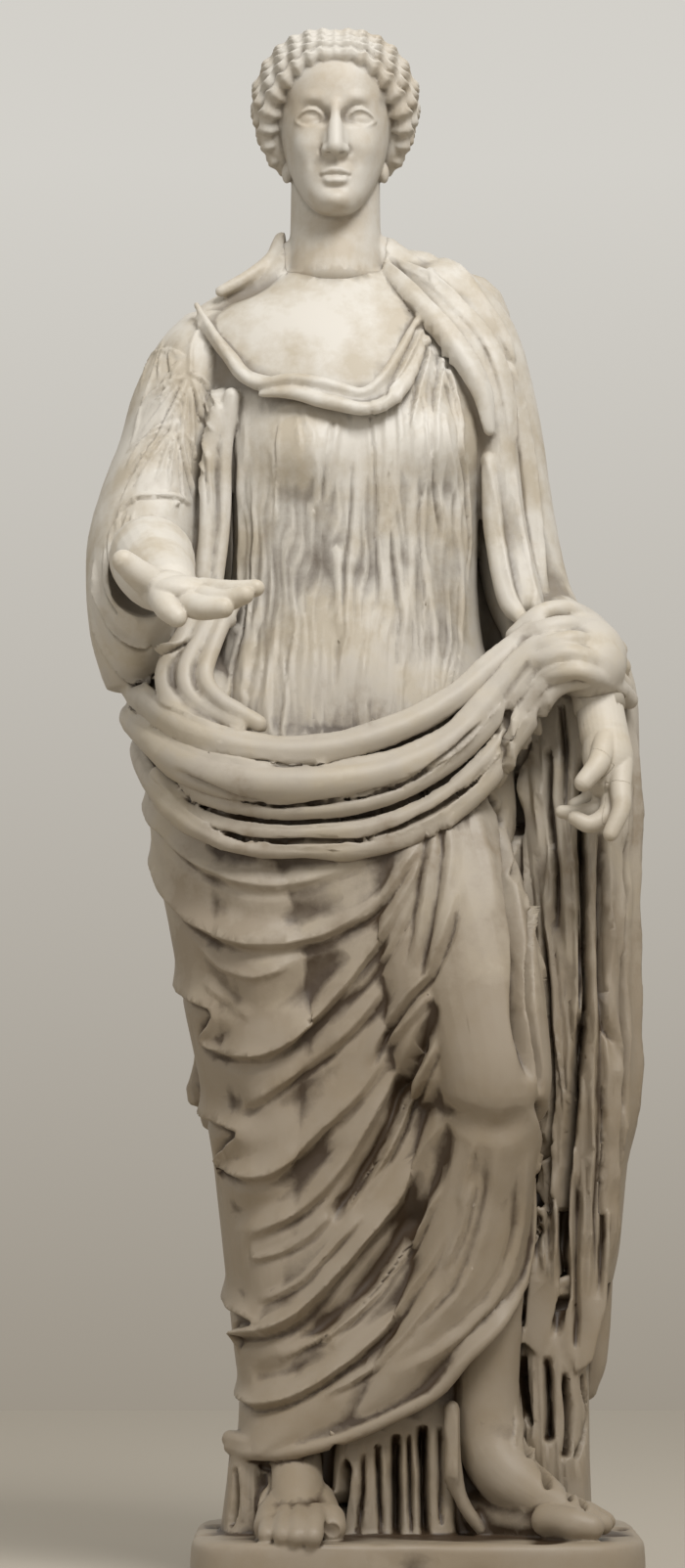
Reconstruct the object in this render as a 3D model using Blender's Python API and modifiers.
"""Draped marble statue of a standing woman, over life size, on its own low plinth.

The figure wears a thin pleated tunic under a mantle. The mantle crosses the left shoulder and the back,
is drawn across the hips in a swag of heavy rolls, lies over the left forearm and falls from it in a
zigzag. The weight is on the right leg and the left knee is bent. The head with the neck, the right
forearm, the left hand and two of its fingers were worked separately and let into the body.

Every place on the figure is a share of its height: (across, deep, up) in thousandths of the height from
sole to crown, measured from the centre of the plinth. Across grows towards the figure's left, deep grows
towards its back, and up starts at the plinth's top. The plinth, the bores, the tenons and their
clearances are real sizes in metres. The front is -Y, and the origin is on the plinth's underside.
"""

import math

import bmesh
import bpy
import numpy as np
from mathutils import Matrix, Vector
from mathutils.bvhtree import BVHTree

# Driving dimensions, in metres
FIGURE_HEIGHT = 2.0
PLINTH_THICKNESS = 0.07
PLINTH_WIDTH = 0.585
PLINTH_DEPTH = 0.50
UNDERCUT = 0.02
JOINT_GAP = 0.0003
NECK_TENON_RADIUS = 0.069
NECK_TENON_LENGTH = 0.055
FOREARM_TENON_RADIUS = 0.034
FOREARM_TENON_LENGTH = 0.110
WRIST_TENON_RADIUS = 0.034
WRIST_TENON_LENGTH = 0.040
FINGER_BREAK_RADIUS = 0.0195

# How finely the clay is worked, in metres, and how many triangles the finished solids keep
BODY_VOXEL = 0.0065
FLESH_VOXEL = 0.0038
BODY_FACES = 5700
HEAD_FACES = 1250
FOREARM_FACES = 520
HAND_FACES = 560

# Figure to metres
SHARE = FIGURE_HEIGHT / 1000


def at(across, deep, up):
    """A point of the figure, from shares of its height to metres."""
    return Vector((across * SHARE, deep * SHARE, up * SHARE + PLINTH_THICKNESS))


# The tunic's trunk: (up, right side, left side, front, back)
TRUNK = [
    (848, -77, -23, -8, 34),
    (830, -88, -16, -22, 40),
    (815, -108, 7, -31, 44),
    (805, -129, 30, -37, 48),
    (791, -145, 46, -44, 53),
    (765, -146, 56, -53, 60),
    (731, -132, 54, -62, 58),
    (698, -124, 47, -66, 52),
    (658, -121, 42, -62, 46),
    (619, -123, 41, -60, 44),
    (580, -135, 45, -63, 50),
    (541, -152, 58, -72, 60),
    (490, -170, 68, -80, 74),
    (451, -171, 68, -84, 80),
]
# The roots of the neck, shared by the body and the neck piece: (centre, radius)
NECK_ROOTS = [
    [((-81, 8, 839), 15), ((-106, 8, 814), 17), ((-132, 6, 794), 19)],
    [((-23, 8, 842), 15), ((1, 8, 823), 18), ((27, 6, 802), 24)],
    [((-53, 6, 815), 24), ((-53, 2, 791), 30)],
    [((-53, 18, 843), 22), ((-53, 24, 821), 26)],
]
BREASTS = [(-71, -39, 705), (11, -39, 711)]
BREAST_RADIUS = 30
BELLY = (-42, -34, 584)

# The mantle round the hips and legs, same columns
SKIRT = [
    (525, -176, 62, -76, 66),
    (490, -178, 68, -83, 76),
    (451, -174, 70, -84, 82),
    (406, -165, 72, -82, 82),
    (348, -154, 74, -78, 78),
    (296, -143, 77, -74, 74),
    (245, -134, 78, -70, 70),
    (194, -128, 78, -66, 66),
    (142, -121, 76, -62, 62),
    (104, -117, 72, -60, 60),
    (79, -115, 48, -60, 58),
    (60, -116, -16, -58, 56),
]
HEM = [
    (-121, -24, 56), (-106, -48, 54), (-80, -60, 54), (-48, -64, 63), (-16, -66, 77), (21, -64, 97),
    (49, -56, 114), (69, -42, 134),
]
THIGH = [((9, -34, 462), 46), ((33, -58, 384), 44), ((48, -78, 304), 38), ((50, -80, 282), 34)]
SHIN = [
    ((50, -76, 284), 34),
    ((48, -62, 232), 34),
    ((47, -48, 169), 31),
    ((45, -36, 106), 27),
    ((43, -32, 61), 23),
]
STANDING_LEG = [
    ((-98, -30, 449), 52),
    ((-87, -34, 353), 47),
    ((-85, -30, 277), 40),
    ((-83, -22, 181), 36),
    ((-80, -20, 80), 25),
]

# The tunic below the mantle, same columns as the trunk
TUNIC_FOOT = [
    (136, -105, 106, -34, 62),
    (78, -113, 109, -38, 64),
    (21, -119, 112, -40, 68),
    (-18, -127, 116, -42, 72),
]
# Upright pleats of the tunic below the mantle: (path, radii)
PLEATS = [
    ([(-118, -20, 52), (-121, -22, 29), (-123, -24, -8)], (5, 6, 7)),
    ([(-109, -38, 50), (-110, -38, 30), (-111, -40, -7)], (5, 5, 6)),
    ([(-61, -62, 63), (-61, -62, 32), (-62, -62, -5)], (5, 5, 6)),
    ([(-38, -70, 82), (-37, -70, 39), (-38, -72, -5)], (8, 9, 9)),
    ([(-22, -66, 76), (-21, -68, 45), (-22, -70, -5)], (5, 6, 6)),
    ([(-7, -66, 94), (-7, -66, 45), (-8, -68, -5)], (6, 7, 7)),
    ([(8, -62, 107), (11, -60, 50), (12, -62, -5)], (7, 7, 8)),
    ([(22, -60, 113), (23, -56, 56), (26, -54, 25), (37, -52, 3), (51, -48, -2)], (6, 5, 5, 5, 5)),
    ([(61, -56, 125), (63, -50, 81), (65, -40, 43), (63, -36, 15)], (6, 6, 6, 5)),
    ([(78, -42, 125), (78, -38, 74), (76, -34, 30)], (6, 6, 6)),
    ([(105, -22, 118), (104, -20, 73), (103, -22, 17)], (7, 7, 8)),
]
PLEAT_GROOVES = [
    ([(-51, 64), (-50, 33), (-51, 2)], 5, 18),
    ([(-15, 82), (-15, 45), (-15, 2)], 4, 18),
    ([(2, 95), (2, 45), (2, 2)], 4, 20),
    ([(69, 120), (69, 82), (69, 51)], 4, 16),
    ([(86, 126), (86, 76), (84, 33)], 5, 22),
    ([(-108, 58), (-103, 27), (-103, -1)], 5, 10),
]

# Feet
RIGHT_FOOT = [((-80, -26, 66), 19), ((-79, -44, 43), 20), ((-78, -68, 25), 22), ((-77, -92, 12), 19)]
RIGHT_FOOT_SOLE = [((-80, -20, -4), 15), ((-78, -60, -1), 19), ((-77, -92, 2), 21)]
RIGHT_TOES = [
    ((-66, -98, 0), (-66, -122, -2)),
    ((-75, -98, 0), (-75, -121, -2)),
    ((-84, -96, 0), (-85, -118, -2)),
    ((-92, -92, 1), (-94, -112, 0)),
]
RIGHT_BIG_TOE_STUMP = ((-57, -92, 3), (-54, -104, 1))
LEFT_FOOT = [
    ((43, -32, 66), 20),
    ((55, -44, 43), 21),
    ((76, -62, 28), 17),
    ((98, -78, 17), 14),
    ((110, -84, 11), 11),
]
LEFT_FOOT_SOLE = [((33, -20, 11), 17), ((59, -42, 6), 18), ((89, -70, 6), 18), ((108, -82, 6), 14)]
LEFT_BIG_TOE = ((90, -92, 12), (111, -96, 9))

FEET = [RIGHT_FOOT, RIGHT_FOOT_SOLE, LEFT_FOOT, LEFT_FOOT_SOLE]

# Right arm in its buttoned sleeve, same columns as the trunk
SLEEVE = [
    (803, -153, -117, -14, 26),
    (785, -170, -106, -30, 44),
    (752, -187, -116, -38, 50),
    (719, -196, -124, -42, 52),
    (686, -208, -135, -50, 54),
    (652, -217, -140, -58, 54),
    (619, -218, -144, -62, 52),
    (587, -215, -152, -60, 46),
    (564, -209, -162, -48, 36),
    (551, -204, -176, -32, 22),
]
# Left arm under the mantle: centre line and radius
LEFT_ARM = [
    ((18, 6, 814), 26),
    ((38, 8, 784), 31),
    ((53, 10, 733), 30),
    ((64, 12, 674), 28),
    ((74, 10, 621), 28),
    ((85, 0, 594), 27),
]
LEFT_FOREARM = [((83, 2, 594), 28), ((98, -24, 580), 30), ((111, -52, 567), 30), ((115, -66, 560), 25)]

# The mantle's fall from the left forearm, same columns as the trunk
FALL = [
    (587, 80, 134, -34, 22),
    (555, 72, 145, -34, 40),
    (517, 67, 148, -28, 48),
    (452, 66, 147, -34, 52),
    (361, 71, 145, -38, 54),
    (277, 77, 147, -40, 54),
    (238, 79, 139, -40, 52),
    (174, 80, 134, -38, 50),
    (142, 83, 127, -34, 46),
    (113, 88, 120, -28, 40),
]
UNDER_RIGHT_ARM = [
    ((-138, 26, 755), 15),
    ((-137, 30, 676), 16),
    ((-141, 28, 597), 18),
    ((-153, 24, 538), 18),
]
BACK_FALL = [((31, 44, 805), 34), ((54, 50, 679), 36), ((76, 46, 520), 38)]

BACK_FOLD_TOP = [(-114, 54, 759), (-62, 58, 765), (-2, 50, 795), (36, 36, 811)]
BACK_FOLD_LOW = [(-173, 60, 429), (-88, 84, 451), (5, 74, 535), (80, 44, 652)]
BACK_FOLD_COUNT = 7

# Heavy rolls: (path, radii). The swag runs from the right hip across the front to the left forearm.
SWAG_TOP = [
    (-193, 14, 560), (-176, -46, 543), (-143, -80, 520), (-104, -90, 508), (-61, -92, 506),
    (-17, -88, 513), (21, -80, 533), (52, -68, 560), (78, -52, 582),
]
SWAG_LOW = [
    (-178, 10, 507), (-168, -46, 486), (-140, -80, 460), (-104, -92, 444), (-61, -94, 441),
    (-17, -90, 454), (22, -84, 483), (53, -74, 524), (80, -60, 552),
]
SWAG_ROLLS = [(0.02, 8.6), (0.26, 8.4), (0.50, 6.2), (0.68, 5.0), (0.84, 4.6), (1.0, 4.4)]
SWAG_GROOVES = [0.14, 0.39, 0.59, 0.76, 0.92]
SWAG_SWELL = (0.6, 1, 1, 1, 1, 1, 0.9, 0.8, 0.6)
NECKLINE_EDGE = [
    (-145, -24, 805), (-131, -40, 780), (-115, -54, 755), (-102, -60, 747), (-80, -66, 749),
    (-55, -70, 744), (-36, -70, 739), (-22, -66, 750), (-7, -52, 776), (4, -38, 798),
]
NECKLINE_ROLL = [
    (-101, -60, 740), (-80, -68, 739), (-55, -73, 732), (-34, -74, 728), (-16, -70, 735), (-4, -60, 752),
    (6, -46, 779),
]
ARMPIT_FOLDS = [
    [(-121, -46, 741), (-127, -38, 706), (-128, -36, 661), (-132, -40, 618)],
    [(-130, -44, 731), (-137, -40, 693), (-139, -40, 654), (-142, -44, 633)],
]
WAIST_LOOP = [(-130, -52, 602), (-141, -62, 581), (-150, -72, 557), (-139, -80, 537), (-115, -84, 523)]
SHOULDER_FOLDS = [
    ([(-17, -16, 834), (3, -34, 808), (21, -48, 780), (38, -52, 751), (53, -44, 723)], 5.5),
    ([(-14, 0, 842), (10, -20, 818), (30, -34, 791), (48, -38, 758), (61, -30, 727)], 6.5),
    ([(-10, 16, 847), (14, 6, 831), (38, 0, 808), (56, -6, 783), (63, -8, 773)], 6.5),
]
ARM_FOLDS = [
    ([(56, -34, 726), (48, -34, 694), (48, -34, 655), (57, -40, 622), (73, -48, 594)], 6.0),
    ([(64, -26, 721), (60, -30, 681), (62, -34, 642), (73, -40, 613), (81, -44, 594)], 6.0),
    ([(71, -12, 703), (73, -14, 664), (76, -18, 631), (84, -26, 607)], 6.0),
]
FOREARM_WRAPS = [
    [(66, -60, 580), (80, -68, 587), (98, -60, 591), (115, -44, 585), (130, -26, 576)],
    [(66, -64, 572), (82, -78, 575), (100, -78, 580), (118, -62, 574), (135, -32, 562)],
    [(66, -68, 561), (82, -84, 565), (99, -88, 569), (118, -76, 563), (137, -40, 548)],
    [(66, -66, 550), (83, -84, 556), (100, -92, 556), (117, -84, 551), (132, -58, 544)],
]
SIDE_LOCKS = [
    ([(-89, 8, 855), (-96, 2, 840), (-112, -8, 826), (-129, -12, 816)], 5.0),
    ([(-16, 8, 851), (-13, 4, 843), (-8, -4, 836)], 4.5),
]

# Folds of the mantle over the legs: (path seen from the front, half width, height, lean)
LEG_FOLDS = [
    ([(-172, 470), (-163, 452), (-146, 433), (-118, 421), (-86, 418), (-57, 427), (-37, 442)], 9, 8, 0.4),
    (
        [
            (-168, 431), (-158, 407), (-139, 391), (-106, 380), (-77, 383), (-48, 396), (-26, 413),
            (-8, 441),
        ],
        9, 10, 0.5,
    ),
    ([(-152, 389), (-137, 370), (-114, 363), (-87, 369), (-61, 383)], 8, 5, 0.3),
    (
        [(-158, 343), (-143, 320), (-111, 309), (-82, 319), (-55, 343), (-32, 373), (-13, 401), (2, 433)],
        9, 11, 0.5,
    ),
    ([(-115, 270), (-84, 292), (-55, 314), (-32, 339), (-16, 364), (-2, 396)], 8, 5, 0.3),
    (
        [(-144, 258), (-126, 240), (-104, 233), (-77, 248), (-51, 272), (-26, 301), (-4, 330), (13, 364)],
        9, 9, 0.4,
    ),
    ([(-111, 198), (-80, 212), (-57, 231), (-38, 257), (-22, 285)], 8, 6, 0.3),
    ([(-45, 210), (-29, 235), (-16, 260), (-4, 289), (8, 323)], 6, 7, 0.2),
    (
        [
            (-135, 156), (-122, 136), (-100, 133), (-71, 151), (-48, 176), (-24, 205), (-6, 230),
            (10, 257), (22, 274),
        ],
        9, 12, 0.5,
    ),
    ([(-80, 109), (-52, 123), (-29, 145), (-8, 171), (9, 197), (26, 225)], 6, 6, 0.2),
    ([(-118, 101), (-103, 87), (-77, 92), (-51, 109), (-26, 131), (-2, 161), (14, 177)], 8, 9, 0.4),
    ([(8, 116), (31, 126), (53, 141), (67, 160), (73, 182), (72, 205)], 5, 5, 0.0),
]
# The hollows between them: (path, half width, depth)
LEG_HOLLOWS = [
    ([(-156, 460), (-124, 439), (-86, 433), (-55, 441)], 14, 6),
    ([(-158, 423), (-130, 404), (-86, 399), (-48, 413), (-23, 433)], 15, 8),
    ([(-136, 351), (-111, 335), (-80, 345), (-48, 373), (-22, 408)], 14, 6),
    ([(-139, 295), (-111, 292), (-73, 315), (-43, 348)], 13, 8),
    ([(-48, 232), (-31, 263), (-19, 291), (-8, 312), (6, 345)], 9, 12),
    ([(-129, 216), (-101, 218), (-73, 235)], 12, 6),
    ([(-124, 170), (-98, 163), (-70, 180), (-41, 210), (-17, 245)], 11, 8),
    ([(-80, 126), (-48, 151), (-19, 185), (2, 222), (20, 257)], 9, 13),
    ([(8, 320), (12, 295), (22, 276)], 12, 12),
    ([(27, 272), (50, 263), (71, 271)], 12, 8),
    ([(-111, 75), (-80, 75), (-42, 89), (-4, 110)], 8, 4),
    ([(52, 465), (58, 421), (65, 383), (68, 333), (74, 289)], 8, 14),
]
# Upright folds of the fall: (path, half width, height)
FALL_FOLDS = [
    ([(66, 535), (63, 484), (64, 433), (68, 393)], 6, 9),
    ([(76, 541), (77, 484), (79, 433), (73, 402)], 6, 10),
    ([(86, 529), (88, 465), (92, 408), (94, 383), (98, 333), (96, 301)], 6, 8),
    ([(113, 452), (114, 370), (115, 295), (111, 220), (107, 163)], 7, 9),
    ([(125, 452), (123, 383), (124, 320)], 6, 9),
    ([(140, 510), (140, 421), (140, 333), (141, 270)], 6, 8),
    ([(84, 289), (85, 232), (87, 170)], 7, 7),
]
FALL_GROOVES = [
    ([(71, 535), (71, 490), (74, 446), (75, 421)], 4, 14),
    ([(83, 535), (83, 484), (86, 433), (89, 383), (88, 326)], 4, 14),
    ([(102, 497), (104, 421), (104, 358), (100, 295), (96, 232), (94, 151)], 4, 26),
    ([(119, 446), (119, 383), (119, 333)], 4, 9),
    ([(133, 446), (132, 383), (131, 320), (130, 270)], 4, 16),
    ([(75, 370), (78, 320), (79, 282)], 4, 12),
    ([(79, 282), (79, 220), (76, 170)], 4, 8),
]


def smooth_line(points, steps=6):
    """Points along a smooth curve through the given ones."""
    given = [np.array(p, float) for p in points]
    given = [2 * given[0] - given[1], *given, 2 * given[-1] - given[-2]]
    made = []
    for before, start, end, after in zip(given, given[1:], given[2:], given[3:]):
        for t in np.arange(steps) / steps:
            made.append(
                0.5
                * (
                    2 * start
                    + (end - before) * t
                    + (2 * before - 5 * start + 4 * end - after) * t**2
                    + (3 * start - before - 3 * end + after) * t**3
                )
            )
    return np.array([*made, given[-2]])


def between(first, last, share):
    """The path a share of the way from one guide path to another."""
    return [tuple((1 - share) * np.array(a) + share * np.array(b)) for a, b in zip(first, last)]


class Clay:
    """A heap of closed lumps that will be kneaded into one skin. Lumps are given in shares."""

    def __init__(self):
        self.lumps = bmesh.new()
        self.ropes = bpy.data.curves.new("ropes", "CURVE")
        self.ropes.dimensions = "3D"
        self.ropes.bevel_depth = 1.0
        self.ropes.bevel_resolution = 2
        self.ropes.use_fill_caps = True

    def ball(self, centre, radii, turn=None):
        """An ellipsoid; turn is a rotation matrix."""
        place = Matrix.Translation(at(*centre)) @ (turn.to_4x4() if turn else Matrix())
        size = Matrix.Diagonal([r * SHARE for r in radii] + [1.0])
        bmesh.ops.create_uvsphere(self.lumps, u_segments=24, v_segments=14, radius=1, matrix=place @ size)

    def rope(self, points, radii):
        """A round-ended roll through points, as thick as radii say at each of them."""
        line = smooth_line([[*p, r] for p, r in zip(points, radii)])
        ends = [(line[0], line[0] - line[1]), (line[-1], line[-1] - line[-2])]
        caps = []
        for end, along in ends:
            along = along[:3] / np.linalg.norm(along[:3])
            turns = np.radians([25, 50, 72, 86])
            caps.append([[*(end[:3] + along * end[3] * math.sin(a)), end[3] * math.cos(a)] for a in turns])
        line = [*reversed(caps[0]), *line, *caps[1]]
        spline = self.ropes.splines.new("POLY")
        spline.points.add(len(line) - 1)
        for point, (x, y, z, radius) in zip(spline.points, line):
            point.co = (*at(x, y, z), 1)
            point.radius = max(radius, 0.2) * SHARE

    def limb(self, stations):
        """A rope from (point, radius) pairs."""
        self.rope([p for p, _ in stations], [r for _, r in stations])

    def loft(self, sections, sides=40, squareness=2.4):
        """A closed body through level sections (up, right, left, front, back)."""
        rows = smooth_line(sections, 4)
        rings = []
        for up, right, left, front, back in rows:
            middle, half = (right + left) / 2, (left - right) / 2
            core, deep = (front + back) / 2, (back - front) / 2
            ring = []
            for k in range(sides):
                turn = 2 * math.pi * k / sides
                c, s = math.cos(turn), math.sin(turn)
                x = middle + half * math.copysign(abs(c) ** (2 / squareness), c)
                y = core + deep * math.copysign(abs(s) ** (2 / squareness), s)
                ring.append(self.lumps.verts.new(at(x, y, up)))
            rings.append(ring)
        for low, high in zip(rings, rings[1:]):
            for k in range(sides):
                n = (k + 1) % sides
                self.lumps.faces.new((low[k], high[k], high[n], low[n]))
        self.lumps.faces.new(rings[0])
        self.lumps.faces.new(list(reversed(rings[-1])))

    def kneaded(self, name, voxel, passes):
        """One closed skin round all the lumps, smoothed a number of passes."""
        bmesh.ops.recalc_face_normals(self.lumps, faces=self.lumps.faces)
        if self.ropes.splines:
            holder = bpy.data.objects.new("ropes", self.ropes)
            bpy.context.scene.collection.objects.link(holder)
            graph = bpy.context.evaluated_depsgraph_get()
            mesh = bpy.data.meshes.new_from_object(holder.evaluated_get(graph))
            self.lumps.from_mesh(mesh)
            bpy.data.objects.remove(holder)
            bmesh.ops.remove_doubles(self.lumps, verts=self.lumps.verts, dist=1e-6)
        mesh = bpy.data.meshes.new(name)
        self.lumps.to_mesh(mesh)
        self.lumps.free()
        return worked(mesh, voxel, passes)


def worked(mesh, voxel, passes):
    """The mesh as one skin of even small faces, smoothed."""
    holder = bpy.data.objects.new("worked", mesh)
    bpy.context.scene.collection.objects.link(holder)
    remesh = holder.modifiers.new("Skin", "REMESH")
    remesh.mode = "VOXEL"
    remesh.voxel_size = voxel
    if passes:
        smooth = holder.modifiers.new("Smooth", "SMOOTH")
        smooth.factor = 0.5
        smooth.iterations = passes
    graph = bpy.context.evaluated_depsgraph_get()
    skin = bpy.data.meshes.new_from_object(holder.evaluated_get(graph))
    bpy.data.objects.remove(holder)
    return skin


class Carver:
    """Raises folds and cuts grooves along lines laid on a skin."""

    def __init__(self, mesh):
        self.mesh = mesh
        self.places = np.empty(len(mesh.vertices) * 3)
        mesh.vertices.foreach_get("co", self.places)
        self.places = self.places.reshape(-1, 3)
        self.normals = np.empty(len(mesh.vertices) * 3)
        mesh.vertex_normals.foreach_get("vector", self.normals)
        self.normals = self.normals.reshape(-1, 3)
        self.tree = BVHTree.FromPolygons(
            [tuple(p) for p in self.places], [tuple(f.vertices) for f in mesh.polygons]
        )

    def laid(self, path):
        """The path on the skin: (across, up) pairs are seen from the front, triples go to the nearest place."""
        line = []
        for point in smooth_line(path, 5):
            if len(point) == 2:
                start = at(point[0], -500, point[1])
                hit = self.tree.ray_cast(start, Vector((0, 1, 0)))[0]
                hit = hit or self.tree.find_nearest(at(point[0], 0, point[1]))[0]
            else:
                hit = self.tree.find_nearest(at(*point))[0]
            line.append(hit)
        return np.array([tuple(p) for p in line])

    def stroke(self, path, half_width, height, lean=0.0, taper=0.22):
        """Raises a rounded ridge, or with a negative height cuts a groove. A lean makes its lower side steep."""
        line = self.laid(path)
        wide, high = half_width * SHARE, height * SHARE
        reach = wide * (1 + abs(lean))
        low, top = line.min(0) - reach, line.max(0) + reach
        near = np.where(((self.places > low) & (self.places < top)).all(1))[0]
        place, best = self.places[near], np.full(len(near), np.inf)
        along, below = np.zeros(len(near)), np.zeros(len(near))
        runs = np.linalg.norm(np.diff(line, axis=0), axis=1)
        ends = np.concatenate([[0], np.cumsum(runs)]) / runs.sum()
        for k, (a, b) in enumerate(zip(line, line[1:])):
            side = b - a
            t = np.clip((place - a) @ side / max(side @ side, 1e-12), 0, 1)
            off = place - a - t[:, None] * side
            far = (off**2).sum(1)
            closer = far < best
            best[closer] = far[closer]
            along[closer] = (ends[k] + t * (ends[k + 1] - ends[k]))[closer]
            below[closer] = -off[closer, 2]
        far = np.sqrt(best)
        sided = wide * (1 - lean * np.tanh(below / (0.3 * wide)))
        share = np.clip(1 - far / sided, 0, 1)
        shape = share * share * (3 - 2 * share)
        fade = np.clip(np.minimum(along, 1 - along) / taper, 0, 1)
        fade = np.sin(fade * math.pi / 2)
        self.places[near] += self.normals[near] * (shape * fade * high)[:, None]

    def done(self):
        """The carved mesh."""
        self.mesh.vertices.foreach_set("co", self.places.ravel())
        self.mesh.update()
        return self.mesh


def stone(name, colour, roughness):
    """A plain marble."""
    material = bpy.data.materials.new(name)
    material.use_nodes = True
    shader = material.node_tree.nodes["Principled BSDF"]
    shader.inputs["Base Color"].default_value = (*colour, 1)
    shader.inputs["Roughness"].default_value = roughness
    shader.inputs["Metallic"].default_value = 0.0
    return material


def placed(name, mesh, collection, material=None):
    """An object of the statue's collection, or a hidden cutter where it has no material."""
    made = bpy.data.objects.new(name, mesh)
    collection.objects.link(made)
    if material:
        mesh.materials.clear()
        mesh.materials.append(material)
        mesh.shade_smooth()
        mesh.set_sharp_from_angle(angle=math.radians(50))
    else:
        made.hide_render = True
        made.display_type = "WIRE"
    return made


def thinned(made, faces):
    """Keeps the form in about that many triangles."""
    triangles = sum(len(f.vertices) - 2 for f in made.data.polygons)
    thin = made.modifiers.new("Thin", "DECIMATE")
    thin.ratio = min(1.0, faces / triangles)
    thin.use_collapse_triangulate = True


def cut(made, cutter, operation="DIFFERENCE"):
    """Cuts one object with another, which stays in the scene as a hidden cutter."""
    boolean = made.modifiers.new("Cut", "BOOLEAN")
    boolean.operation = operation
    boolean.object = cutter


def turned(name, profile, collection, material=None, centre=(0, 0, 0), axis=(0, 0, 1), flat=1.0, steps=28):
    """A solid of revolution from (radius, height) pairs, bottom to top, along axis from centre."""
    mesh = bpy.data.meshes.new(name)
    rows = list(reversed(profile))
    mesh.from_pydata([(r, 0, z) for r, z in rows], [(k, k + 1) for k in range(len(rows) - 1)], [])
    made = placed(name, mesh, collection, material)
    turn = made.modifiers.new("Turn", "SCREW")
    turn.steps = turn.render_steps = steps
    turn.use_merge_vertices = True
    turn.merge_threshold = 0.0001
    made.location = centre
    made.rotation_euler = Vector(axis).to_track_quat("Z", "Y").to_euler()
    made.scale = (1, flat, 1)
    return made


def rolls(first, last, stations):
    """Paths and radii of the heavy rolls lying between two guide paths."""
    return [(between(first, last, share), radius) for share, radius in stations]


def plinth(clay):
    """The low plinth, cut from the same block and left a little uneven; it reaches below its underside."""
    half, deep = PLINTH_WIDTH / 2 / SHARE, PLINTH_DEPTH / 2 / SHARE
    foot = -(PLINTH_THICKNESS + UNDERCUT) / SHARE
    rows = [(foot, 1.0), (-0.55 * PLINTH_THICKNESS / SHARE, 1.0), (-4, 0.992), (0, 0.965)]
    clay.loft([(up, -half * k, half * k, -deep * k, deep * k) for up, k in rows], squareness=6)


def draped_body():
    """The body, its clothes, feet and plinth, kneaded and carved."""
    clay = Clay()
    plinth(clay)
    for sections in (TRUNK, SKIRT, TUNIC_FOOT, FALL):
        clay.loft(sections)
    clay.loft(SLEEVE, squareness=2.0)
    for centre in BREASTS:
        clay.ball(centre, [BREAST_RADIUS] * 3)
    clay.ball(BELLY, (62, 34, 50))
    for stations in (*NECK_ROOTS, THIGH, SHIN, STANDING_LEG, LEFT_ARM, LEFT_FOREARM, UNDER_RIGHT_ARM, BACK_FALL, *FEET):
        clay.limb(stations)
    for start, end in RIGHT_TOES:
        clay.rope([start, end], [5.6, 5.0])
    clay.rope(RIGHT_BIG_TOE_STUMP, [8, 7])
    clay.rope(LEFT_BIG_TOE, [9, 8])
    for path, radius in rolls(SWAG_TOP, SWAG_LOW, SWAG_ROLLS):
        clay.rope(path, [radius * k for k in SWAG_SWELL])
    clay.rope(NECKLINE_EDGE, [5.0] * len(NECKLINE_EDGE))
    clay.rope(NECKLINE_ROLL, [4.0] * len(NECKLINE_ROLL))
    clay.rope(HEM, [5.0] * len(HEM))
    for path in (*ARMPIT_FOLDS, WAIST_LOOP):
        clay.rope(path, [6.5] * len(path))
    for path, radius in (*SHOULDER_FOLDS, *ARM_FOLDS):
        clay.rope(path, [radius] * len(path))
    for path in FOREARM_WRAPS:
        clay.rope(path, [7.0] * len(path))
    for path, radius in SIDE_LOCKS:
        clay.rope(path, [radius] * len(path))
    for path, radius in PLEATS:
        clay.rope(path, radius)
    mesh = clay.kneaded("draped_figure", BODY_VOXEL, 1)
    carver = Carver(mesh)
    for share in SWAG_GROOVES:
        carver.stroke(between(SWAG_TOP, SWAG_LOW, share), 4.5, -9, taper=0.1)
    for path, half_width, height, lean in LEG_FOLDS:
        carver.stroke(path, half_width * 1.5, height, lean)
    for path, half_width, depth in LEG_HOLLOWS:
        carver.stroke(path, half_width, -depth)
    for path, half_width, height in FALL_FOLDS:
        carver.stroke(path, half_width, height)
    for path, half_width, depth in (*FALL_GROOVES, *PLEAT_GROOVES):
        carver.stroke(path, half_width, -depth)
    for share in np.linspace(0, 1, BACK_FOLD_COUNT):
        carver.stroke(between(BACK_FOLD_TOP, BACK_FOLD_LOW, share), 14, 8, 0.3)
    return carver.done()


# Above the seam the neck piece may widen, and its keeper reaches over the whole head, in metres
NECK_RISE = 0.03
HEAD_ROOM = 0.2

# The head, in shares from its own middle: (across, deep, up)
HEAD_CENTRE = (-53, -6, 926)
HEAD_SIZE = 1.06
NECK_CENTRE = (-53, 2, 842)
SKULL = [
    ((0, 9, 12), (41, 49, 46)),
    ((0, -5, -8), (36, 38, 40)),
    ((0, -14, -30), (27, 27, 26)),
    ((0, -34, -49), (12, 10, 10)),
]
NECK = [((0, 10, -24), 28), ((0, 11, -60), 28.5), ((0, 9, -84), 30), ((0, 7, -104), 31.5)]
NOSE = [((0, -42, 11), 3.6), ((0, -48, -4), 4.0), ((0, -52, -13), 4.6)]
NOSTRIL = ((4.6, -45, -15), (3.6, 5, 3.2))
BROW = [((5, -40.5, 13), 3.0), ((14, -40.5, 16), 3.0), ((27, -32, 12), 3.0)]
EYE = ((14, -35.5, 6), (7.5, 6, 5))
CHEEK = ((19, -26, -10), (12, 12, 14))
UPPER_LIP = [((9, -38.5, -27.5), 1.6), ((4, -41.5, -26), 2.6), ((0, -42, -27), 2.4)]
LOWER_LIP = [((7.5, -38.5, -30.5), 1.8), ((0, -41.5, -31.5), 3.0)]
EAR = ((40, 4, -8), (4, 8, 13))
HAIR_CAP = ((0, 15, 19), (41, 48, 43))
HAIR_KNOT = ((0, 64, -6), (20, 18, 18))
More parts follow.
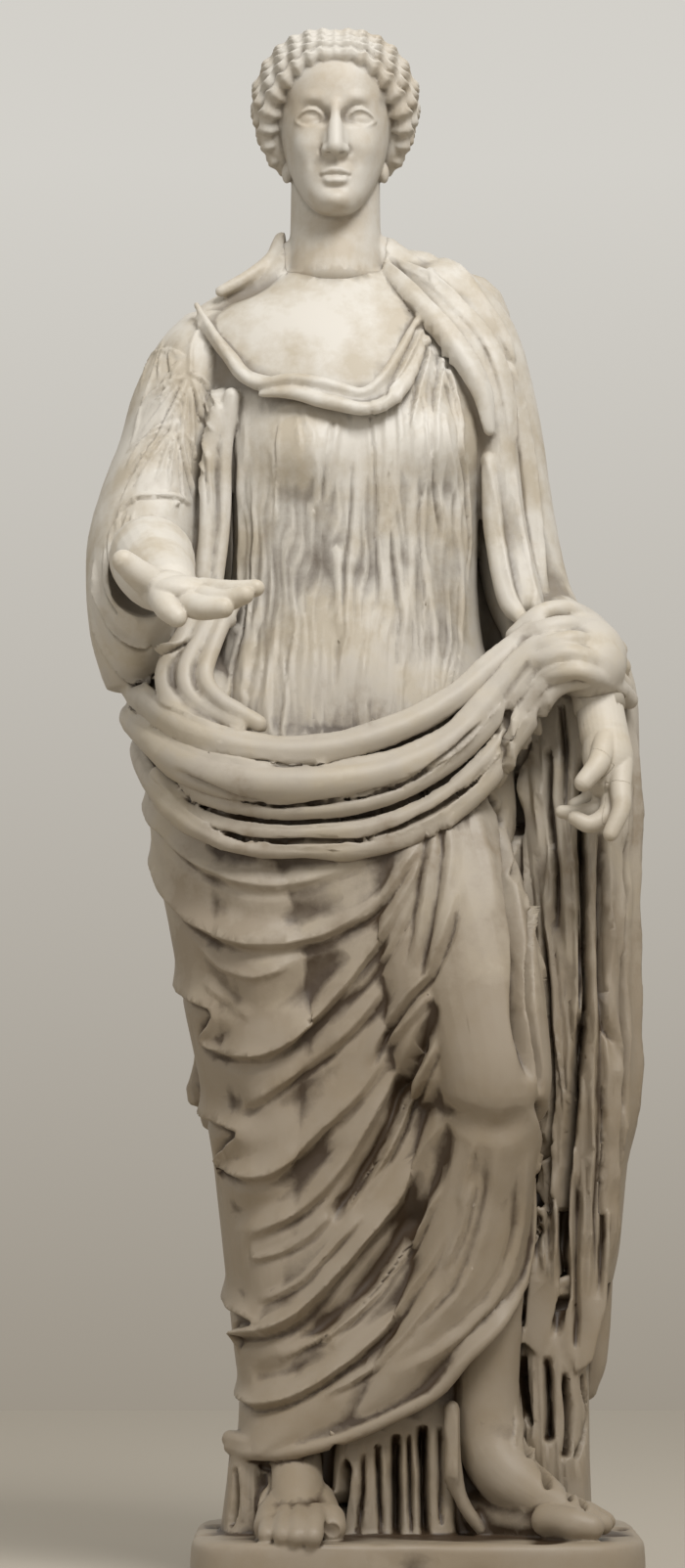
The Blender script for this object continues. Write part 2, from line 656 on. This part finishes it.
# Locks leave the parting and run back over the ear to the knot: the outermost and the topmost, left side
LOCK_LOW = [
    (2, -42, 38), (17, -38, 33), (32, -28, 22), (43, -12, 9), (46, 6, -3), (37, 32, -12), (13, 56, -12),
]
LOCK_TOP = [
    (3, -22, 56), (11, -16, 58), (20, -6, 57), (28, 12, 51), (29, 30, 40), (20, 48, 22), (8, 60, 4),
]
LOCK_COUNT = 7
LOCK_RADII = (3, 4.5, 6, 8, 8.5, 7, 6)

# The right forearm and its open hand, palm up
RIGHT_FOREARM = [
    ((-174, -66, 633), 26),
    ((-171, -88, 627), 27.5),
    ((-166, -124, 614), 24),
    ((-158, -158, 602), 18),
]
RIGHT_PALM = ((-149, -180, 595), (21, 22, 10))
RIGHT_THUMB = [((-165, -168, 602), 8.5), ((-176, -182, 607), 7.5), ((-188, -190, 616), 5.5)]
RIGHT_FINGERS = [
    [((-158, -188, 591), 7), ((-154, -202, 582), 6.5), ((-149, -206, 575), 5.5)],
    [((-147, -190, 588), 7), ((-135, -206, 581), 6.5), ((-121, -216, 581), 5)],
    [((-141, -188, 592), 7), ((-124, -206, 586), 6.5), ((-109, -216, 590), 5)],
    [((-136, -184, 597), 6.5), ((-118, -200, 593), 6), ((-102, -208, 594), 4.5)],
]
FOREARM_SEAT = (-175, -58, 634)
SLEEVE_MOUTH = ((-175, -66, 623), (31, 34, 38))

# The left hand, hanging with its lower fingers bent
LEFT_WRIST = [((119, -62, 532), 15.5), ((121, -72, 515), 16)]
LEFT_PALM = [((122, -72, 515), 15), ((123, -79, 499), 16.5), ((123, -80, 486), 14)]
LEFT_THUMB = [((121, -84, 511), 8), ((116, -98, 495), 7.2), ((106, -104, 482), 6.2)]
LEFT_INDEX = [((131, -84, 496), 8), ((130, -94, 479), 7), ((130, -100, 465), 6.2), ((123, -104, 449), 5)]
LEFT_BENT_FINGERS = [
    [((126, -80, 486), 7.5), ((123, -88, 465), 6.5), ((111, -92, 456), 5.8), ((101, -92, 460), 5)],
    [((120, -74, 485), 7), ((117, -76, 469), 6), ((104, -78, 464), 5.4), ((93, -78, 465), 4.4)],
    [((115, -68, 487), 6), ((111, -66, 475), 5.4), ((102, -66, 470), 4.8)],
]
THUMB_BREAK = ((118, -95, 499), (106, -104, 482))
INDEX_BREAK = ((130, -93, 481), (126, -103, 453))
WRIST_SEAT = (118, -59, 539)
WRIST_AIM = (6, -8, -40)


def on_head(point, side=1):
    """A point of the head on the figure, mirrored to the other side where side is -1."""
    across, deep, up = (HEAD_SIZE * p for p in point)
    return (HEAD_CENTRE[0] + side * across, HEAD_CENTRE[1] + deep, HEAD_CENTRE[2] + up)


def head_and_neck():
    """The head, its hair and the neck down to the chest's own surface round the seam."""
    clay = Clay()
    clay.loft(TRUNK[:7])
    for stations in NECK_ROOTS:
        clay.limb(stations)
    for centre, radii in (*SKULL, HAIR_CAP, HAIR_KNOT):
        clay.ball(on_head(centre), [HEAD_SIZE * r for r in radii])
    for stations in (NECK, NOSE):
        clay.limb([(on_head(p), HEAD_SIZE * r) for p, r in stations])
    for side in (-1, 1):
        for centre, radii in (NOSTRIL, EYE, CHEEK, EAR):
            clay.ball(on_head(centre, side), [HEAD_SIZE * r for r in radii])
        for stations in (BROW, UPPER_LIP, LOWER_LIP):
            clay.limb([(on_head(p, side), HEAD_SIZE * r) for p, r in stations])
        for share in np.linspace(0, 1, LOCK_COUNT):
            path = between(LOCK_LOW, LOCK_TOP, share)
            clay.rope([on_head(p, side) for p in path], [HEAD_SIZE * r for r in LOCK_RADII])
    carver = Carver(clay.kneaded("head_and_neck", FLESH_VOXEL, 1))
    for side in (-1, 1):
        for share in (np.arange(LOCK_COUNT - 1) + 0.5) / (LOCK_COUNT - 1):
            path = between(LOCK_LOW, LOCK_TOP, share)
            carver.stroke([on_head(np.array(p) * 1.2, side) for p in path], 3, -3.5)
    return carver.done()


def right_forearm():
    """The forearm and its open hand."""
    clay = Clay()
    clay.limb(RIGHT_FOREARM)
    clay.ball(*RIGHT_PALM)
    for stations in (RIGHT_THUMB, *RIGHT_FINGERS):
        clay.limb(stations)
    return clay.kneaded("right_forearm_and_hand", FLESH_VOXEL, 1)


def left_hand():
    """The whole left hand, before its thumb and index finger are parted."""
    clay = Clay()
    for stations in (LEFT_WRIST, LEFT_PALM, LEFT_THUMB, LEFT_INDEX, *LEFT_BENT_FINGERS):
        clay.limb(stations)
    return clay.kneaded("left_hand", FLESH_VOXEL, 1)


def tenon_profile(radius, length, reach, gap=0.0):
    """A plug with a rounded foot: (radius, height) pairs, with reach above its seat."""
    r = radius + gap
    foot = length + gap
    return [(0, -foot), (0.55 * r, -0.96 * foot), (0.86 * r, -0.72 * foot), (r, -0.35 * foot), (r, reach), (0, reach)]


def block(name, side, low, high, collection):
    """A square block between two heights, as a hidden cutter."""
    mesh = bpy.data.meshes.new(name)
    shape = bmesh.new()
    bmesh.ops.create_cube(shape, size=1)
    bmesh.ops.scale(shape, vec=(side, side, high - low), verts=shape.verts)
    bmesh.ops.translate(shape, vec=(0, 0, (low + high) / 2), verts=shape.verts)
    shape.to_mesh(mesh)
    shape.free()
    return placed(name, mesh, collection)


def tenon(made, name, seat, aim, radius, length, cutters):
    """Joins a plug to a piece: it starts inside the piece at seat and runs back along aim."""
    profile = tenon_profile(radius, length, radius * 0.4)
    cut(made, turned(name, profile, cutters, centre=seat, axis=-aim), "UNION")


def socket(body, name, seat, aim, radius, length, reach, cutters):
    """Cuts the hole that takes a plug, with the joint's clearance all round."""
    profile = tenon_profile(radius, length, reach, JOINT_GAP)
    cut(body, turned(name, profile, cutters, centre=seat, axis=-aim))


def parted(name, hand, start, end, radius, collection, cutters, material):
    """Parts a finger's end from the hand beyond a break across start, as a piece of its own."""
    foot, aim = at(*start), (at(*end) - at(*start)).normalized()
    reach = 6 * radius
    rod = turned(name + "_keep", [(0, 0), (radius, 0), (radius, reach), (0, reach)], cutters, centre=foot, axis=aim)
    g = JOINT_GAP
    wide = [(0, -g), (radius + g, -g), (radius + g, reach + g), (0, reach + g)]
    fragment = placed(name, hand.data.copy(), collection, material)
    thinned(fragment, HAND_FACES)
    cut(fragment, rod, "INTERSECT")
    cut(hand, turned(name + "_gone", wide, cutters, centre=foot, axis=aim))
    return fragment


def main():
    """Builds the statue."""
    for item in list(bpy.data.objects):
        bpy.data.objects.remove(item)
    statue = bpy.data.collections.new("draped_statue")
    cutters = bpy.data.collections.new("cutters")
    for collection in (statue, cutters):
        bpy.context.scene.collection.children.link(collection)
    old_marble = stone("old_marble", (0.50, 0.46, 0.39), 0.55)
    worked_marble = stone("head_marble", (0.60, 0.57, 0.51), 0.45)
    restored_marble = stone("restored_marble", (0.66, 0.63, 0.57), 0.5)

    body = placed("draped_figure", draped_body(), statue, old_marble)
    thinned(body, BODY_FACES)
    cut(body, block("underside_cut", 2 * PLINTH_WIDTH, -PLINTH_WIDTH, 0, cutters))

    neck = at(*NECK_CENTRE)
    seam = [(r, z) for r, z in tenon_profile(NECK_TENON_RADIUS, NECK_TENON_LENGTH, NECK_RISE)[:-1]]
    seam += [(HEAD_ROOM, NECK_RISE + 0.01), (HEAD_ROOM, 2 * HEAD_ROOM), (0, 2 * HEAD_ROOM)]
    keep = turned("head_keep", seam, cutters, centre=neck)
    bowl = tenon_profile(NECK_TENON_RADIUS, NECK_TENON_LENGTH, 2 * HEAD_ROOM, JOINT_GAP)
    cut(body, turned("neck_bowl", bowl, cutters, centre=neck))
    head = placed("head_and_neck", head_and_neck(), statue, worked_marble)
    thinned(head, HEAD_FACES)
    cut(head, keep, "INTERSECT")

    mouth = placed("sleeve_mouth", bpy.data.meshes.new("sleeve_mouth"), cutters)
    hollow = bmesh.new()
    bmesh.ops.create_uvsphere(hollow, u_segments=20, v_segments=12, radius=1)
    hollow.to_mesh(mouth.data)
    hollow.free()
    mouth.location = at(*SLEEVE_MOUTH[0])
    mouth.scale = [r * SHARE for r in SLEEVE_MOUTH[1]]
    cut(body, mouth)
    aim = Vector((0, -1, 0))
    seat = at(*FOREARM_SEAT)
    socket(body, "forearm_bore", seat, -aim, FOREARM_TENON_RADIUS, FOREARM_TENON_LENGTH, 0.01, cutters)
    forearm = placed("right_forearm_and_hand", right_forearm(), statue, restored_marble)
    thinned(forearm, FOREARM_FACES)
    tenon(forearm, "forearm_tenon", seat, -aim, FOREARM_TENON_RADIUS, FOREARM_TENON_LENGTH, cutters)

    aim = Vector(WRIST_AIM).normalized()
    seat = at(*WRIST_SEAT)
    socket(body, "wrist_bore", seat, -aim, WRIST_TENON_RADIUS, WRIST_TENON_LENGTH, 0.02, cutters)
    flare = [(0, 0), (WRIST_TENON_RADIUS, 0), (WRIST_TENON_RADIUS * 1.5, 0.07), (0, 0.07)]
    cut(body, turned("wrist_mouth", flare, cutters, centre=seat, axis=aim))
    hand = placed("left_hand", left_hand(), statue, restored_marble)
    thinned(hand, HAND_FACES)
    for name, (start, end) in (("left_thumb", THUMB_BREAK), ("left_index_finger", INDEX_BREAK)):
        parted(name, hand, start, end, FINGER_BREAK_RADIUS, statue, cutters, restored_marble)
    tenon(hand, "wrist_tenon", seat, -aim, WRIST_TENON_RADIUS, WRIST_TENON_LENGTH, cutters)


main()
